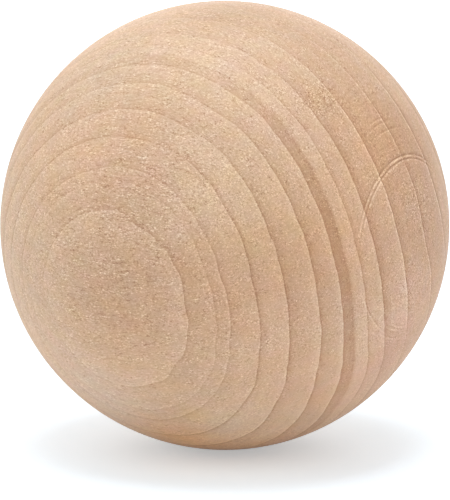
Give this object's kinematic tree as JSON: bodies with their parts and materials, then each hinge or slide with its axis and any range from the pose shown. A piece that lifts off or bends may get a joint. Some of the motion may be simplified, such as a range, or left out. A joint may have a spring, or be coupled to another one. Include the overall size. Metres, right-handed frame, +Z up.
{
  "type": "wooden ball",
  "caption": "Solid turned wooden ball, bare and sanded, with the grain along the turning axis and a faint double ring from the chuck at one end.",
  "frame": {"origin": "centre of the ball", "axes": "+X along the turning axis, which is also the grain direction, out of the end with the chuck's double ring; +Z up as the ball lies"},
  "size_m": [0.075, 0.075, 0.075],
  "materials": {
    "turned_birch": "matte"
  },
  "bodies": {
    "root": {"ball": "turned_birch"}
  },
  "joints": []
}
